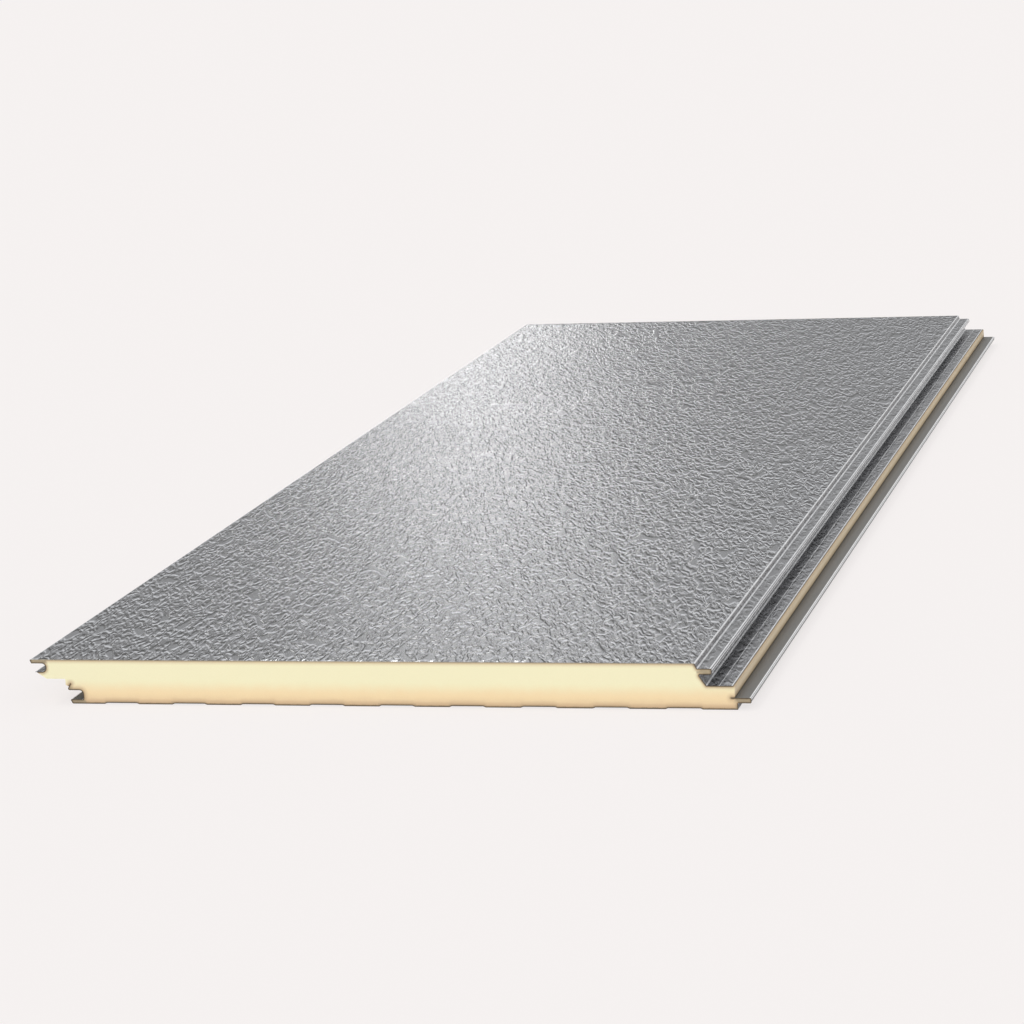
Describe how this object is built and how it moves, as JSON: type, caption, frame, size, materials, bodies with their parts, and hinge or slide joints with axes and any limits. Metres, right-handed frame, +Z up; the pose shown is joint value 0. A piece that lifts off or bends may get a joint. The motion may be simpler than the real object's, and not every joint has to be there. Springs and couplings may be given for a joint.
{
  "type": "insulated sandwich panel",
  "caption": "Long flat cladding panel: embossed steel outer facing, foam core and finely ribbed steel inner facing, with concealed-fix tongue-and-groove long edges.",
  "frame": {"origin": "centre of the panel's plan, at the level of the flat underside", "axes": "+X across the panel from the grooved edge to the tongued edge, +Y along the length away from the cut end in view, +Z up through the thickness from the inner facing to the outer facing"},
  "size_m": [1.2905, 3.6, 0.08],
  "materials": {
    "outer_coating": "silver-grey metallic coating on stucco-embossed steel",
    "inner_coating": "smooth satin grey coating on steel",
    "foam": "matt cream rigid foam"
  },
  "bodies": {
    "root": {"outer_facing": "outer_coating", "inner_facing": "inner_coating", "foam_core": "foam"}
  },
  "joints": []
}
